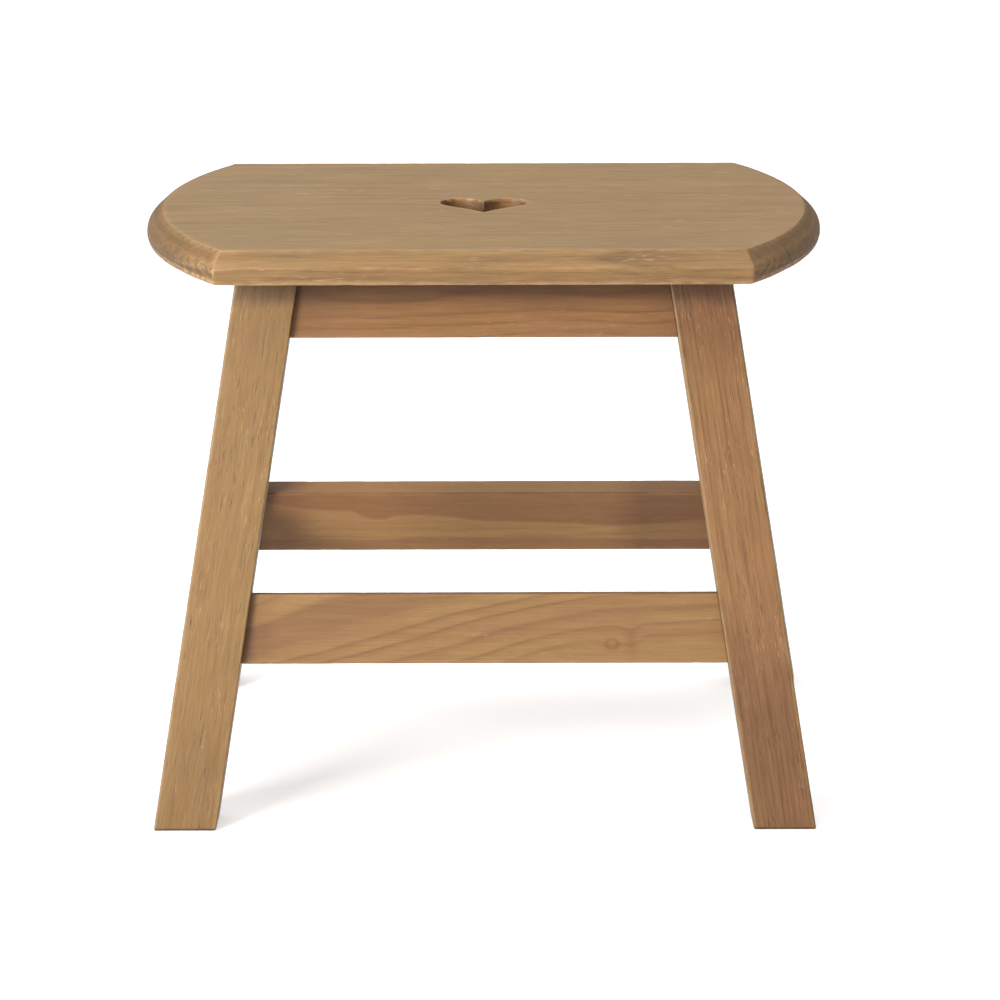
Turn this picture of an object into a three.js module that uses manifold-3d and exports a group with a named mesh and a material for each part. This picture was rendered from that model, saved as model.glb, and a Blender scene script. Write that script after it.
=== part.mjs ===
// Wooden milking stool: a bevelled seat board with a heart-shaped hand-hold,
// on four compound-splayed legs joined by aprons and stretchers.
// Millimetres, +Z up. Origin: on the floor, under the middle of the seat.
// +X runs along the seat (right), -Y is the front.
//
// The front pair of legs and the rear pair each make a flat ladder frame.
// The two frames lean towards each other like an A, and the legs of each
// frame also splay sideways. The rails have stub tenons that sit in mortises
// in the legs. Two cleats screwed inside the aprons carry the seat screws.

import * as THREE from 'three';
import { mergeVertices } from 'three/addons/utils/BufferGeometryUtils.js';
import Module from 'manifold-3d';

// ---- driving dimensions (mm) ----
const HEIGHT = 290;            // floor to seat top
const GAP = 0.3;               // clearance kept between touching pieces

const SEAT_T = 16.5;           // seat board thickness
const SEAT_HALF_LENGTH = 170;  // to the middle of each bowed end
const SEAT_HALF_DEPTH = 100;   // to each straight long edge
const SEAT_EDGE_HALF = 133;    // half the straight part of a long edge
const BEVEL_IN = 8;            // bevel round the top edge, measured inwards
const BEVEL_DROP = 7.5;        // and measured down

const FOOT_X = 165.5;          // outer edge of a foot on the floor
const FOOT_Y = 127;            // front face of a front foot on the floor
const LEAN_DEG = 13.5;         // lean of each frame towards the other
const SPLAY = 0.157;           // sideways splay, mm per mm of height
const LEG_W = 31;              // leg section, across the frame
const LEG_T = 24;              // leg section, through the frame

const RAIL_T = 13.5;           // thickness of aprons and stretchers
const RAIL_W = 35;             // width of a stretcher
const SETBACK = 4;             // rail face behind the leg's outer face
const TENON_T = 6;             // tenon thickness
const TENON_SHOULDER = 5;      // shoulder above and below a tenon
const TENON_LONG = 13;         // tenon length, front and rear rails
const TENON_SIDE = 10;         // tenon length, side rails
const MORTISE_SPARE = 1;       // mortise depth beyond the tenon's end

const STRETCHER_Z = { front: 81, rear: 84.6, side: 83 }; // lower edge
const APRON_Z = 239;           // lower edge of all aprons
const APRON_TENON_TOP = 262;   // top of the apron tenons

const CLEAT_HALF_LENGTH = 80;
const CLEAT_H = 20;
const CLEAT_INNER_Y = 26;      // inner face of each cleat

const SCREW_SHANK_R = 2;
const SCREW_HEAD_R = 4;
const SCREW_HEAD_H = 2.6;
const SCREW_LENGTH = 30;
const SEAT_SCREW_X = [-64, 0, 64];
const SEAT_SCREW_Y = 35;
const CLEAT_SCREW_X = [-36, 36];
const CLEAT_SCREW_Z = 263;

// ---- derived ----
const TOP = HEIGHT - SEAT_T;   // underside of the seat
const LEG_TOP = TOP - GAP;
const beta = THREE.MathUtils.degToRad(LEAN_DEG);
const cb = Math.cos(beta), sb = Math.sin(beta), tb = Math.tan(beta);
const gamma = Math.atan(SPLAY);
const cg = Math.cos(gamma), sg = Math.sin(gamma);
const V = (x, y, z) => new THREE.Vector3(x, y, z);

// ---- materials ----
const seatWood = new THREE.MeshStandardMaterial({ color: 0xb09470, roughness: 0.55, metalness: 0 });
const legWood = new THREE.MeshStandardMaterial({ color: 0xa8865a, roughness: 0.55, metalness: 0 });
const railWood = new THREE.MeshStandardMaterial({ color: 0xa88158, roughness: 0.58, metalness: 0 });
const cleatWood = new THREE.MeshStandardMaterial({ color: 0xc09a68, roughness: 0.7, metalness: 0 });
const screwSteel = new THREE.MeshStandardMaterial({ color: 0xb9a45c, roughness: 0.35, metalness: 1 });

// ---- solids: three.js geometry in, manifold booleans, three.js geometry out ----
const wasm = await Module();
wasm.setup();

function toSolid(geometry) {
  let g = geometry.clone();
  g.deleteAttribute('normal');
  g.deleteAttribute('uv');
  g = mergeVertices(g, 1e-4);
  return new wasm.Manifold(new wasm.Mesh({
    numProp: 3,
    vertProperties: new Float32Array(g.attributes.position.array),
    triVerts: new Uint32Array(g.index.array),
  }));
}

function toGeometry(solid) {
  const m = solid.getMesh();
  const n = m.numProp, count = m.vertProperties.length / n;
  const pos = new Float32Array(count * 3);
  for (let i = 0; i < count; i++) for (let k = 0; k < 3; k++) pos[3 * i + k] = m.vertProperties[n * i + k];
  const g = new THREE.BufferGeometry();
  g.setAttribute('position', new THREE.BufferAttribute(pos, 3));
  g.setIndex(new THREE.BufferAttribute(new Uint32Array(m.triVerts), 1));
  return g;
}

// A box given by ranges along three perpendicular directions from an origin.
function slab(origin, ex, ey, ez, lo, hi) {
  const g = new THREE.BoxGeometry(hi[0] - lo[0], hi[1] - lo[1], hi[2] - lo[2]);
  g.translate((lo[0] + hi[0]) / 2, (lo[1] + hi[1]) / 2, (lo[2] + hi[2]) / 2);
  const m = new THREE.Matrix4().makeBasis(ex, ey, ez).setPosition(origin);
  g.applyMatrix4(m);
  if (m.determinant() < 0) {
    const ix = g.index.array;
    for (let i = 0; i < ix.length; i += 3) [ix[i + 1], ix[i + 2]] = [ix[i + 2], ix[i + 1]];
  }
  return toSolid(g);
}
const X = V(1, 0, 0), Y = V(0, 1, 0), Z = V(0, 0, 1), O = V(0, 0, 0);
const between = (z0, z1) => slab(O, X, Y, Z, [-500, -500, z0], [500, 500, z1]);

// ---- seat outline: straight long edges, bowed ends ----
function outline(inset) {
  const L = SEAT_HALF_LENGTH, a = SEAT_EDGE_HALF, h = SEAT_HALF_DEPTH;
  const xc = (L * L - a * a - h * h) / (2 * (L - a)); // centre of the end arc
  const r = L - xc - inset, half = h - inset;
  const ang = Math.asin(half / r);
  const s = new THREE.Shape();
  s.moveTo(-(xc + r * Math.cos(ang)), -half);
  s.lineTo(xc + r * Math.cos(ang), -half);
  s.absarc(xc, 0, r, -ang, ang, false);
  s.lineTo(-(xc + r * Math.cos(ang)), half);
  s.absarc(-xc, 0, r, Math.PI - ang, Math.PI + ang, false);
  return s;
}

function heartShape(grow) {
  const k = grow;
  const s = new THREE.Shape();
  s.moveTo(0, 6.2 + k);
  s.bezierCurveTo(1.6, 10.6 + k, 5.6, 14.2 + k, 11.4, 14.2 + k);
  s.bezierCurveTo(17.4 + k, 14.2 + k, 21.5 + k, 10.6, 21.5 + k, 5.2);
  s.bezierCurveTo(21.5 + k, -1.2, 9.2, -4.6, 0, -14.4 - k);
  s.bezierCurveTo(-9.2, -4.6, -21.5 - k, -1.2, -21.5 - k, 5.2);
  s.bezierCurveTo(-21.5 - k, 10.6, -17.4 - k, 14.2 + k, -11.4, 14.2 + k);
  s.bezierCurveTo(-5.6, 14.2 + k, -1.6, 10.6 + k, 0, 6.2 + k);
  return s;
}

// ---- screws: wood screw with a countersunk cross head, along +Z from its head ----
function screwSolid() {
  const r = SCREW_SHANK_R, R = SCREW_HEAD_R, L = SCREW_LENGTH;
  const pts = [
    V(0, 0, 0), V(R, 0, 0), V(R, 0.4, 0), V(r, SCREW_HEAD_H, 0), V(r, 11, 0),
    V(r - 0.35, 12, 0), V(r - 0.35, L - 5, 0), V(0, L, 0),
  ].map((p) => new THREE.Vector2(p.x, p.y));
  const g = new THREE.LatheGeometry(pts, 20);
  g.rotateX(Math.PI / 2); // lathe axis +Y becomes +Z
  let solid = toSolid(g);
  for (const turn of [0, Math.PI / 2]) {
    const cut = new THREE.BoxGeometry(3.6, 0.8, 2.6);
    cut.rotateZ(turn);
    solid = solid.subtract(toSolid(cut));
  }
  return solid;
}
// The clearance hole for one screw, with its countersink.
function screwHole() {
  const r = SCREW_SHANK_R + GAP, R = SCREW_HEAD_R + GAP, L = SCREW_LENGTH + 0.8;
  const pts = [[0, -6], [R, -6], [R, 0.5], [r, SCREW_HEAD_H + 0.3], [r, L], [0, L]].map((p) => new THREE.Vector2(p[0], p[1]));
  const g = new THREE.LatheGeometry(pts, 20);
  g.rotateX(Math.PI / 2);
  return g;
}
const HEAD_SINK = 0.5; // heads sit just below the wood

const screws = []; // { name, position, direction }
SEAT_SCREW_X.forEach((x, i) => {
  screws.push({ name: `seat_screw_front_${i + 1}`, seat: true, side: -1, p: V(x, -SEAT_SCREW_Y, LEG_TOP - CLEAT_H + HEAD_SINK), d: Z });
  screws.push({ name: `seat_screw_rear_${i + 1}`, seat: true, side: 1, p: V(x, SEAT_SCREW_Y, LEG_TOP - CLEAT_H + HEAD_SINK), d: Z });
});
CLEAT_SCREW_X.forEach((x, i) => {
  screws.push({ name: `cleat_screw_front_${i + 1}`, seat: false, side: -1, p: V(x, -(CLEAT_INNER_Y + HEAD_SINK), CLEAT_SCREW_Z), d: V(0, -1, 0) });
  screws.push({ name: `cleat_screw_rear_${i + 1}`, seat: false, side: 1, p: V(x, CLEAT_INNER_Y + HEAD_SINK, CLEAT_SCREW_Z), d: V(0, 1, 0) });
});
function holeOf(screw) {
  const g = screwHole();
  g.applyQuaternion(new THREE.Quaternion().setFromUnitVectors(Z, screw.d));
  g.translate(screw.p.x, screw.p.y, screw.p.z);
  return toSolid(g);
}

// ---- legs ----
function legFrame(side, front) {
  const a = V(-side * SPLAY, -front * tb, 1).normalize();
  const n = V(0, front * cb, sb);
  const s = new THREE.Vector3().crossVectors(a, n).normalize();
  if (s.x * side < 0) s.negate();
  return { o: V(side * FOOT_X, front * FOOT_Y, 0), s, n, a };
}
const legBox = (f, lo, hi) => slab(f.o, f.s, f.n, f.a, lo, hi);

// A board lying in a frame's plane: x along the rail, h up the slope, depth inwards.
const frontRail = (front, x, h, depth) => slab(V(0, front * FOOT_Y, 0), X, V(0, -front * sb, cb), V(0, -front * cb, -sb),
  [x[0], h[0], depth[0]], [x[1], h[1], depth[1]]);
const sideRail = (side, y, h, depth) => slab(V(side * FOOT_X, 0, 0), Y, V(-side * sg, 0, cg), V(-side * cg, 0, -sg),
  [y[0], h[0], depth[0]], [y[1], h[1], depth[1]]);

const tenonDepth = (c) => [SETBACK + (RAIL_T - TENON_T) / 2 - c, SETBACK + (RAIL_T + TENON_T) / 2 + c];

// Height ranges up the slope of each rail and its tenon.
function railRange(z, isApron, cosine) {
  const h0 = z / cosine;
  if (isApron) return { board: [h0, h0 + 60], tenon: [h0 + TENON_SHOULDER, APRON_TENON_TOP / cosine] };
  return { board: [h0, h0 + RAIL_W], tenon: [h0 + TENON_SHOULDER, h0 + RAIL_W - TENON_SHOULDER] };
}
const grown = (r, c) => [r[0] - c, r[1] + c];
const WIDE = [-400, 400];

// Everything in a leg's own frame beyond the given plane, used to cut rails to length.
const beyondInnerFace = (f, into) => legBox(f, [-LEG_W - GAP + into, -400, -400], [400, 400, 800]);
const beyondBackFace = (f, into) => legBox(f, [-400, -LEG_T - GAP + into, -400], [400, 400, 800]);

const rails = [];
for (const [front, end] of [[-1, 'front'], [1, 'rear']]) {
  for (const [kind, z] of [['apron', APRON_Z], ['stretcher', STRETCHER_Z[end]]]) {
    rails.push({ name: `${kind}_${end}`, kind, long: true, front, range: railRange(z, kind === 'apron', cb) });
  }
}
for (const [side, end] of [[-1, 'left'], [1, 'right']]) {
  for (const [kind, z] of [['apron', APRON_Z], ['stretcher', STRETCHER_Z.side]]) {
    rails.push({ name: `${kind}_${end}`, kind, long: false, side, range: railRange(z, kind === 'apron', cg) });
  }
}

function railSolid(r) {
  const board = [SETBACK, SETBACK + RAIL_T];
  let body, tenon;
  if (r.long) {
    body = frontRail(r.front, WIDE, r.range.board, board);
    tenon = frontRail(r.front, WIDE, r.range.tenon, tenonDepth(0));
    for (const side of [-1, 1]) {
      const f = legFrame(side, r.front);
      body = body.subtract(beyondInnerFace(f, 0));
      tenon = tenon.subtract(beyondInnerFace(f, TENON_LONG + GAP));
    }
  } else {
    body = sideRail(r.side, WIDE, r.range.board, board);
    tenon = sideRail(r.side, WIDE, r.range.tenon, tenonDepth(0));
    for (const front of [-1, 1]) {
      const f = legFrame(r.side, front);
      body = body.subtract(beyondBackFace(f, 0));
      tenon = tenon.subtract(beyondBackFace(f, TENON_SIDE + GAP));
    }
  }
  let solid = body.add(tenon);
  if (r.kind === 'apron') solid = solid.intersect(between(0, LEG_TOP));
  return solid;
}

function legSolid(side, front) {
  const f = legFrame(side, front);
  let solid = legBox(f, [-LEG_W, -LEG_T, -60], [0, 0, 400]).intersect(between(0, LEG_TOP));
  for (const r of rails) {
    if (r.long && r.front === front) {
      const cut = frontRail(front, WIDE, grown(r.range.tenon, GAP), tenonDepth(GAP))
        .subtract(beyondInnerFace(f, TENON_LONG + GAP + MORTISE_SPARE));
      solid = solid.subtract(cut);
    }
    if (!r.long && r.side === side) {
      const cut = sideRail(side, WIDE, grown(r.range.tenon, GAP), tenonDepth(GAP))
        .subtract(beyondBackFace(f, TENON_SIDE + GAP + MORTISE_SPARE));
      solid = solid.subtract(cut);
    }
  }
  return solid;
}

// ---- assembly ----
const group = new THREE.Group();
group.name = 'milking_stool';
const legsGroup = new THREE.Group(), railsGroup = new THREE.Group(), topGroup = new THREE.Group(), screwsGroup = new THREE.Group();
group.add(topGroup, legsGroup, railsGroup, screwsGroup);

// Put a piece in the scene about its own centre.
function addPiece(parent, name, solid, material) {
  const g = toGeometry(solid);
  g.computeBoundingBox();
  const c = g.boundingBox.getCenter(new THREE.Vector3());
  g.translate(-c.x, -c.y, -c.z);
  const mesh = new THREE.Mesh(g, material);
  mesh.name = name;
  mesh.position.copy(c);
  parent.add(mesh);
}

// seat: bevelled round its top edge, pierced by the heart
{
  const g = new THREE.ExtrudeGeometry(outline(BEVEL_IN), {
    depth: 40, bevelEnabled: true, bevelThickness: BEVEL_DROP, bevelSize: BEVEL_IN, bevelSegments: 1, curveSegments: 28,
  });
  g.translate(0, 0, HEIGHT - BEVEL_DROP - 40);
  let seat = toSolid(g).intersect(between(TOP, HEIGHT + 10));
  const heart = new THREE.ExtrudeGeometry(heartShape(0), { depth: SEAT_T + 20, bevelEnabled: false, curveSegments: 14 });
  heart.translate(0, 0, TOP - 10);
  seat = seat.subtract(toSolid(heart));
  for (const s of screws) if (s.seat) seat = seat.subtract(holeOf(s));
  addPiece(topGroup, 'seat_board', seat, seatWood);
}

// cleats: square battens with the outer side ripped to the lean of the apron
for (const [front, end] of [[-1, 'front'], [1, 'rear']]) {
  const innerPlane = (z) => FOOT_Y - tb * z - (SETBACK + RAIL_T + GAP) / cb;
  const z0 = LEG_TOP - CLEAT_H, z1 = LEG_TOP;
  const s = new THREE.Shape();
  const pts = [[CLEAT_INNER_Y, z0], [innerPlane(z0), z0], [innerPlane(z1), z1], [CLEAT_INNER_Y, z1]].map(([y, z]) => [front * y, z]);
  if (front < 0) pts.reverse();
  s.moveTo(...pts[0]);
  for (const p of pts.slice(1)) s.lineTo(...p);
  const g = new THREE.ExtrudeGeometry(s, { depth: 2 * CLEAT_HALF_LENGTH, bevelEnabled: false });
  // section drawn in (Y, Z), length along X
  g.applyMatrix4(new THREE.Matrix4().makeBasis(Y, Z, X));
  g.translate(-CLEAT_HALF_LENGTH, 0, 0);
  let cleat = toSolid(g);
  for (const sc of screws) if (sc.side === front) cleat = cleat.subtract(holeOf(sc));
  addPiece(topGroup, `seat_cleat_${end}`, cleat, cleatWood);
}

for (const [front, end] of [[-1, 'front'], [1, 'rear']]) {
  for (const [side, hand] of [[-1, 'left'], [1, 'right']]) {
    addPiece(legsGroup, `leg_${end}_${hand}`, legSolid(side, front), legWood);
  }
}

for (const r of rails) {
  let solid = railSolid(r);
  if (r.kind === 'apron' && r.long) {
    for (const sc of screws) if (!sc.seat && sc.side === r.front) solid = solid.subtract(holeOf(sc));
  }
  addPiece(railsGroup, r.name, solid, railWood);
}

// screws: one geometry, each copy placed and turned
const screwGeometry = toGeometry(screwSolid());
for (const sc of screws) {
  const mesh = new THREE.Mesh(screwGeometry, screwSteel);
  mesh.name = sc.name;
  mesh.position.copy(sc.p);
  mesh.quaternion.setFromUnitVectors(Z, sc.d);
  screwsGroup.add(mesh);
}

export default group;
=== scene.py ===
import math

import bpy
from mathutils import Matrix, Vector, noise


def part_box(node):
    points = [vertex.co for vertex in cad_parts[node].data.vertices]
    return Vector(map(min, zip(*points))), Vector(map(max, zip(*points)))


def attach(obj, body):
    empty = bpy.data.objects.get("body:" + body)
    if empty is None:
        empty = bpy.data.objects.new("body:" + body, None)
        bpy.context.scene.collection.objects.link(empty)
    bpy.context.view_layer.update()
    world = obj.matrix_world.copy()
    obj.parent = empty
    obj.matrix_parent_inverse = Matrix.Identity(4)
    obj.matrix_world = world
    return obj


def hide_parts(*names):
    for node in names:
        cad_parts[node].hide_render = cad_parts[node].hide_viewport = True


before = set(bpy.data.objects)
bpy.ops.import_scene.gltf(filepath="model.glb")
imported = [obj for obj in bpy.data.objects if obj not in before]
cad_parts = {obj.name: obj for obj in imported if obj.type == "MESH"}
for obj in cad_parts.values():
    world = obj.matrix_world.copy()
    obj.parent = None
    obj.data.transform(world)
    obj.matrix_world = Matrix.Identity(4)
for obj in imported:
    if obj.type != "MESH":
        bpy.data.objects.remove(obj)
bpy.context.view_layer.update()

MM = 0.001

# ---------------------------------------------------------------- dimensions
# The same numbers as the CAD model, in millimetres.
HEIGHT, SEAT_T = 290.0, 16.5
HALF_L, HALF_D, EDGE_HALF = 170.0, 100.0, 133.0
BEVEL_IN, BEVEL_DROP = 8.0, 7.5
FOOT_X, FOOT_Y, LEAN, SPLAY = 165.5, 127.0, math.radians(13.5), 0.157
LEG_W, LEG_T = 31.0, 24.0
RAIL_T, RAIL_W, SETBACK = 13.5, 35.0, 4.0
STRETCHER_Z = {"front": 81.0, "rear": 84.6, "side": 83.0}
APRON_Z = 239.0
GAP = 0.3
TOP = HEIGHT - SEAT_T
LEG_TOP = TOP - GAP
CLEAT_HALF, CLEAT_H, CLEAT_Y = 80.0, 20.0, 26.0
JOINT = 0.12             # hairline left at a glued shoulder

cb, sb, tb = math.cos(LEAN), math.sin(LEAN), math.tan(LEAN)
gam = math.atan(SPLAY)
cg, sg = math.cos(gam), math.sin(gam)


# ---------------------------------------------------------------- small helpers
def n3(p, scale, seed=0.0):
    """Smooth noise, about -1..1, over millimetres."""
    return noise.noise(Vector((p[0] / scale + seed * 7.31, p[1] / scale - seed * 3.17, p[2] / scale + seed * 1.93)))


def make_object(name, verts_mm, faces, wear, inner=None):
    mesh = bpy.data.meshes.new(name)
    mesh.from_pydata([(x * MM, y * MM, z * MM) for x, y, z in verts_mm], [], faces)
    att = mesh.attributes.new("wear", "FLOAT", "POINT")
    att.data.foreach_set("value", wear)
    if inner is not None:
        mesh.attributes.new("inner", "FLOAT", "POINT").data.foreach_set("value", inner)
    mesh.polygons.foreach_set("use_smooth", [True] * len(mesh.polygons))
    mesh.set_sharp_from_angle(angle=math.radians(38))
    mesh.validate()
    mesh.update()
    obj = bpy.data.objects.new(name, mesh)
    bpy.context.scene.collection.objects.link(obj)
    return obj


def section(corners, radii, seg=4, step=6.0):
    """A closed outline with rounded corners, counter-clockwise: (u, v, nu, nv, wear)."""
    n = len(corners)
    arcs = []
    for i in range(n):
        p, c, q = Vector(corners[i - 1]), Vector(corners[i]), Vector(corners[(i + 1) % n])
        d1, d2 = (p - c).normalized(), (q - c).normalized()
        half = math.acos(max(-1.0, min(1.0, d1.dot(d2)))) / 2
        r = radii[i]
        tl = r / math.tan(half)
        mid = c + (d1 + d2).normalized() * (r / math.sin(half))
        a0 = c + d1 * tl - mid
        turn = math.pi - 2 * half
        pts = []
        for k in range(seg + 1):
            a = turn * k / seg
            v = Vector((a0.x * math.cos(a) - a0.y * math.sin(a), a0.x * math.sin(a) + a0.y * math.cos(a)))
            pts.append((mid.x + v.x, mid.y + v.y, v.x / r, v.y / r, 1.0))
        arcs.append(pts)
    out = []
    for i in range(n):
        out += arcs[i]
        a, b = Vector(arcs[i][-1][:2]), Vector(arcs[(i + 1) % n][0][:2])
        length = (b - a).length
        d = (b - a) / length
        nu, nv = d.y, -d.x
        stops = [(0.35, 0.62), (1.5, 0.12)]
        inner = max(1, int((length - 4.0) / step))
        ts = [s for s, _ in stops] + [2.0 + (length - 4.0) * (k + 0.5) / inner for k in range(inner)]
        ws = [w for _, w in stops] + [0.0] * inner
        ts += [length - s for s, _ in reversed(stops)]
        ws += [w for _, w in reversed(stops)]
        for t, w in zip(ts, ws):
            out.append((a.x + d.x * t, a.y + d.y * t, nu, nv, w))
    return out


def stations(length, step, end_a=(), end_b=()):
    """Places along a bar with extra rings for a rounded end: (distance, inset)."""
    ts = [(t, i) for t, i in end_a]
    a = end_a[-1][0] if end_a else 0.0
    b = end_b[-1][0] if end_b else 0.0
    n = max(2, int(round((length - a - b) / step)))
    start = 1 if end_a else 0
    stop = n if end_b else n + 1
    ts += [(a + (length - a - b) * k / n, 0.0) for k in range(start, stop)]
    ts += [(length - t, i) for t, i in reversed(end_b)]
    return ts


def sweep(name, outline, rings, place, seed, dings=(), waves=0.10, nick=0.30, end_wear=0.8):
    """Skins a bar: rings of the outline, put in place by place(u, v, t) -> (point, u axis, v axis)."""
    verts, wear, faces = [], [], []
    m = len(outline)
    for t, inset in rings:
        for u, v, nu, nv, w in outline:
            p, eu, ev = place(u - nu * inset, v - nv * inset, t)
            nrm = (eu * nu + ev * nv).normalized()
            ww = max(w, end_wear if inset > 0 else 0.0)
            cut = waves * (0.5 + 0.5 * n3(p, 38.0, seed)) + 0.05 * (0.5 + 0.5 * n3(p, 9.0, seed + 5))
            if w > 0.5:
                a = 0.5 + 0.5 * n3(p, 14.0, seed + 1)
                b = max(0.0, n3(p, 4.5, seed + 2) - 0.15)
                cut += nick * (0.55 * a * a + 0.9 * b)
            p = p - nrm * cut
            for c, radius, depth, direction in dings:
                d = (p - c).length
                if d < radius:
                    p = p + direction * depth * (1 - (d / radius) ** 2) ** 2
                    ww = max(ww, 0.6 * (1 - d / radius))
            verts.append(tuple(p))
            wear.append(ww)
    k = len(rings)
    for i in range(k - 1):
        for j in range(m):
            a, b = i * m + j, i * m + (j + 1) % m
            faces.append((a, b, b + m, a + m))
    faces.append(tuple(reversed(range(m))))
    faces.append(tuple(range((k - 1) * m, k * m)))
    return verts, faces, wear


def outward(verts, faces):
    """Turns the faces over if they point inwards."""
    vol = 0.0
    for f in faces:
        a = Vector(verts[f[0]])
        for i in range(1, len(f) - 1):
            vol += a.dot(Vector(verts[f[i]]).cross(Vector(verts[f[i + 1]])))
    return faces if vol > 0 else [tuple(reversed(f)) for f in faces]


# ---------------------------------------------------------------- legs
def leg_frame(side, front):
    a = Vector((-side * SPLAY, -front * tb, 1.0)).normalized()
    n = Vector((0.0, front * cb, sb))
    s = a.cross(n).normalized()
    if s.x * side < 0:
        s = -s
    return Vector((side * FOOT_X, front * FOOT_Y, 0.0)), s, n, a


def leg(side, front, seed, dings=()):
    o, s, n, a = leg_frame(side, front)
    out = section([(-LEG_W, -LEG_T), (0, -LEG_T), (0, 0), (-LEG_W, 0)], [1.05, 1.05, 1.05, 1.05], seg=4, step=6)

    def place(u, v, z):
        q = o + s * u + n * v
        return q + a * ((z - q.z) / a.z), s, n
    rings = stations(LEG_TOP, 2.0, end_a=((0.0, 1.15), (0.18, 0.62), (0.55, 0.22), (1.2, 0.0)))
    name = f"leg_{'front' if front < 0 else 'rear'}_{'left' if side < 0 else 'right'}"
    verts, faces, wear = sweep(name, out, rings, place, seed, dings)
    verts = [(x, y, min(max(z, 0.0), LEG_TOP)) for x, y, z in verts]
    return make_object(name + "_wood", verts, outward(verts, faces), wear), name


# ---------------------------------------------------------------- rails
def rail_long(kind, front, seed, dings=(), face_r=0.9):
    end = "front" if front < 0 else "rear"
    if kind == "apron":
        h0 = APRON_Z / cb
        top = lambda d: (LEG_TOP + d * sb) / cb
    else:
        h0 = STRETCHER_Z[end] / cb
        top = lambda d: h0 + RAIL_W
    d0, d1 = SETBACK, SETBACK + RAIL_T
    corners = [(h0, d0), (top(d0), d0), (top(d1), d1), (h0, d1)]
    out = section(corners, [face_r, 0.5 if kind == "apron" else face_r, 0.5 if kind == "apron" else face_r, face_r], seg=3, step=5)
    eh, ed = Vector((0, -front * sb, cb)), Vector((0, -front * cb, -sb))
    planes = {side: leg_frame(side, front) for side in (-1, 1)}

    def shoulder(side, q):
        o, s, _, _ = planes[side]
        return o.x + (-LEG_W - JOINT - s.y * (q.y - o.y) - s.z * q.z) / s.x

    def place(h, d, t):
        q = Vector((0, front * FOOT_Y, 0)) + eh * h + ed * d
        xl, xr = shoulder(-1, q), shoulder(1, q)
        return Vector((xl + (xr - xl) * t, q.y, q.z)), eh, ed
    length = 268.0 if kind == "stretcher" else 218.0
    rings = [(t / length, i) for t, i in stations(length, 2.0)]
    name = f"{kind}_{end}"
    verts, faces, wear = sweep(name, out, rings, place, seed, dings, nick=0.22)
    return make_object(name + "_wood", verts, outward(verts, faces), wear), name


def rail_side(kind, side, seed, face_r=0.9):
    hand = "left" if side < 0 else "right"
    if kind == "apron":
        h0 = APRON_Z / cg
        top = lambda d: (LEG_TOP + d * sg) / cg
    else:
        h0 = STRETCHER_Z["side"] / cg
        top = lambda d: h0 + RAIL_W
    d0, d1 = SETBACK, SETBACK + RAIL_T
    out = section([(h0, d0), (top(d0), d0), (top(d1), d1), (h0, d1)],
                  [face_r, 0.5 if kind == "apron" else face_r, 0.5 if kind == "apron" else face_r, face_r], seg=3, step=5)
    eh, ed = Vector((-side * sg, 0, cg)), Vector((-side * cg, 0, -sg))
    planes = {front: leg_frame(side, front) for front in (-1, 1)}

    def shoulder(front, q):
        o, _, n, _ = planes[front]
        return o.y + (-LEG_T - JOINT - n.z * q.z) / n.y

    def place(h, d, t):
        q = Vector((side * FOOT_X, 0, 0)) + eh * h + ed * d
        ya, yb = shoulder(-1, q), shoulder(1, q)
        return Vector((q.x, ya + (yb - ya) * t, q.z)), eh, ed
    length = 184.0 if kind == "stretcher" else 109.0
    rings = [(t / length, i) for t, i in stations(length, 2.2)]
    name = f"{kind}_{hand}"
    verts, faces, wear = sweep(name, out, rings, place, seed, nick=0.22)
    return make_object(name + "_wood", verts, outward(verts, faces), wear), name


# ---------------------------------------------------------------- cleats
def cleat(front, seed):
    plane = lambda z: FOOT_Y - tb * z - (SETBACK + RAIL_T + GAP) / cb
    z0, z1 = LEG_TOP - CLEAT_H, LEG_TOP
    out = section([(CLEAT_Y, z0), (plane(z0), z0), (plane(z1), z1), (CLEAT_Y, z1)], [1.0, 0.6, 0.4, 0.6], seg=3, step=4)
    ey, ez = Vector((0, front, 0)), Vector((0, 0, 1))

    def place(y, z, t):
        return Vector((t - CLEAT_HALF, front * y, z)), ey, ez
    ends = ((0.0, 0.45), (0.2, 0.15), (0.6, 0.0))
    rings = stations(2 * CLEAT_HALF, 3.0, end_a=ends, end_b=ends)
    name = f"seat_cleat_{'front' if front < 0 else 'rear'}"
    verts, faces, wear = sweep(name, out, rings, place, seed, nick=0.2)
    return make_object(name + "_wood", verts, outward(verts, faces), wear), name


# ---------------------------------------------------------------- seat
ARC_X = (HALF_L ** 2 - EDGE_HALF ** 2 - HALF_D ** 2) / (2 * (HALF_L - EDGE_HALF))
ARC_R = HALF_L - ARC_X


def corner(d, rc):
    """Fillet centre of a rounded outline corner at inset d (first quadrant)."""
    cy = HALF_D - d - rc
    cx = ARC_X + math.sqrt((ARC_R - d - rc) ** 2 - cy ** 2)
    return cx, cy


def outline_point(col, d, rc=1.3):
    kind, sx, sy, f = col
    cx, cy = corner(d, rc)
    if kind == "S":      # straight long edge, f is -1..1 along X
        return Vector((f * cx, sy * (HALF_D - d)))
    ang = math.atan2(cy, cx - ARC_X)
    if kind == "F":      # corner fillet, f is 0 at the straight edge and 1 at the end arc
        a = math.pi / 2 + (ang - math.pi / 2) * f
        return Vector((sx * (cx + rc * math.cos(a)), sy * (cy + rc * math.sin(a))))
    a = ang * f          # bowed end, f is -1..1 from -Y to +Y
    return Vector((sx * (ARC_X + (ARC_R - d) * math.cos(a)), (ARC_R - d) * math.sin(a)))


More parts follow.
